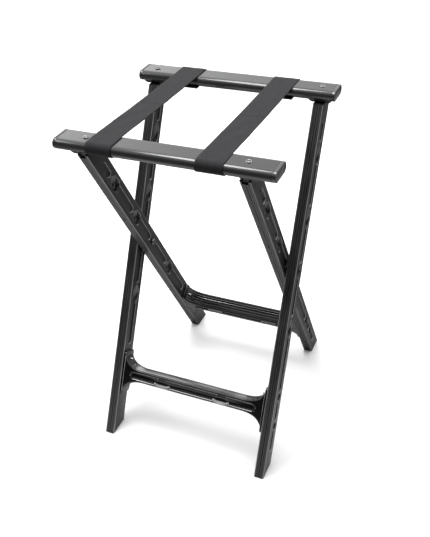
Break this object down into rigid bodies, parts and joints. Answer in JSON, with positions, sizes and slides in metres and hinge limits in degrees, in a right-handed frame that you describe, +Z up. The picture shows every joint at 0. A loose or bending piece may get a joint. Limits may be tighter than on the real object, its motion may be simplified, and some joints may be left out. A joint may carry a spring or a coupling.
{
  "type": "folding luggage rack",
  "caption": "Tall folding luggage rack: two crossed plastic leg frames pivot at the middle, each with a round-nosed top rail and a moulded cross brace, tied together by woven webbing straps.",
  "frame": {"origin": "on the floor under the middle of the rack, standing open", "axes": "+X to the rack's right along the rails, +Y from the front rail to the rear rail, +Z up"},
  "size_m": [0.47, 0.5172, 0.7901],
  "materials": {
    "leg": "satin moulded",
    "brace": "glossy moulded",
    "rail": "satin extruded",
    "cap": "satin moulded",
    "saddle": "satin moulded",
    "strap": "flat woven nylon webbing",
    "spacer": "matte",
    "steel": "bright plated"
  },
  "bodies": {
    "outer_frame": {"outer_leg_left": "leg", "outer_leg_right": "leg", "outer_leg_pin_left": "steel", "outer_leg_pin_right": "steel", "outer_brace": "brace", "outer_brace_screw_left_lower": "steel", "outer_brace_screw_left_upper": "steel", "outer_brace_screw_right_lower": "steel", "outer_brace_screw_right_upper": "steel", "rear_rail": "rail", "rear_rail_cap_left": "cap", "rear_rail_cap_right": "cap", "rear_saddle_left": "saddle", "rear_saddle_right": "saddle", "rear_rail_screw_left": "steel", "rear_rail_screw_right": "steel", "left_strap_rear_wrap": "strap", "left_strap_rear_screw_1": "steel", "left_strap_rear_screw_2": "steel", "right_strap_rear_wrap": "strap", "right_strap_rear_screw_1": "steel", "right_strap_rear_screw_2": "steel", "pivot_bolt_left": "steel", "pivot_bolt_right": "steel", "pivot_washer_left": "spacer", "pivot_washer_right": "spacer", "pivot_nut_left": "steel", "pivot_nut_right": "steel"},
    "inner_frame": {"inner_leg_left": "leg", "inner_leg_right": "leg", "inner_leg_pin_left": "steel", "inner_leg_pin_right": "steel", "inner_brace": "brace", "inner_brace_screw_left_lower": "steel", "inner_brace_screw_left_upper": "steel", "inner_brace_screw_right_lower": "steel", "inner_brace_screw_right_upper": "steel", "front_rail": "rail", "front_rail_cap_left": "cap", "front_rail_cap_right": "cap", "front_saddle_left": "saddle", "front_saddle_right": "saddle", "front_rail_screw_left": "steel", "front_rail_screw_right": "steel", "left_strap_front_wrap": "strap", "left_strap_front_screw_1": "steel", "left_strap_front_screw_2": "steel", "right_strap_front_wrap": "strap", "right_strap_front_screw_1": "steel", "right_strap_front_screw_2": "steel"},
    "strap_rear_halves": {"left_strap_rear_half": "strap", "right_strap_rear_half": "strap"},
    "strap_front_halves": {"left_strap_front_half": "strap", "right_strap_front_half": "strap"}
  },
  "joints": [
    {"name": "fold", "type": "hinge", "parent": "outer_frame", "child": "inner_frame", "pos_m": [0, 0, 0.425], "axis": [-1, 0, 0], "range_deg": [0, 46], "deforming": ["left_strap_rear_half", "right_strap_rear_half", "left_strap_front_half", "right_strap_front_half"]},
    {"name": "rear_strap_drop", "type": "hinge", "parent": "outer_frame", "child": "strap_rear_halves", "pos_m": [0, 0.1665, 0.7765], "axis": [1, 0, 0], "range_deg": [0, 68]},
    {"name": "front_strap_drop", "type": "hinge", "parent": "inner_frame", "child": "strap_front_halves", "pos_m": [0, -0.1665, 0.7765], "axis": [-1, 0, 0], "range_deg": [0, 68]}
  ],
  "couplings": [
    {"joint": "rear_strap_drop", "follows": "fold", "ratio": 1.47},
    {"joint": "front_strap_drop", "follows": "fold", "ratio": 1.47}
  ]
}
